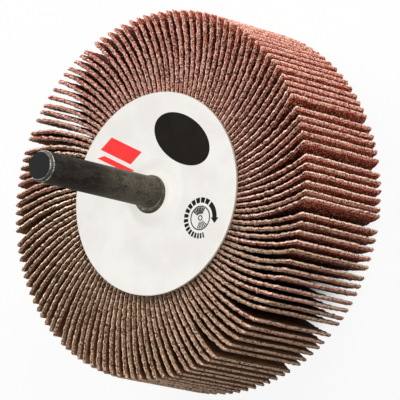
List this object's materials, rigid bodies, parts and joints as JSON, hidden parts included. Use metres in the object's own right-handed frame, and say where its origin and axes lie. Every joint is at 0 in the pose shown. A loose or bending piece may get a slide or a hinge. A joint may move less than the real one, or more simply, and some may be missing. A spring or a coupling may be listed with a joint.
{
  "type": "mounted flap wheel",
  "caption": "Flap wheel of curved abrasive cloth flaps in a cast core, with a round steel spindle and a white printed label.",
  "frame": {"origin": "centre of the rear face, on the spindle's axis", "axes": "+Z along the spindle, away from the rear face; +X and +Y lie in the rear face, with the black oval of the label towards +X and +Y"},
  "size_m": [0.0762, 0.0762, 0.0619],
  "materials": {
    "abrasive_cloth": "matte",
    "spindle_steel": "satin",
    "cast_resin": "satin",
    "label_board": "satin",
    "black_ink": "satin",
    "red_ink": "satin"
  },
  "bodies": {
    "root": {"flap_pack": "abrasive_cloth", "spindle": "spindle_steel", "label": "label_board", "adhesive_bead": "cast_resin", "printed_oval": "black_ink", "printed_bars": "red_ink", "rotation_dashes": "black_ink", "rotation_arrow": "black_ink", "wheel_symbol": "black_ink"}
  },
  "joints": []
}
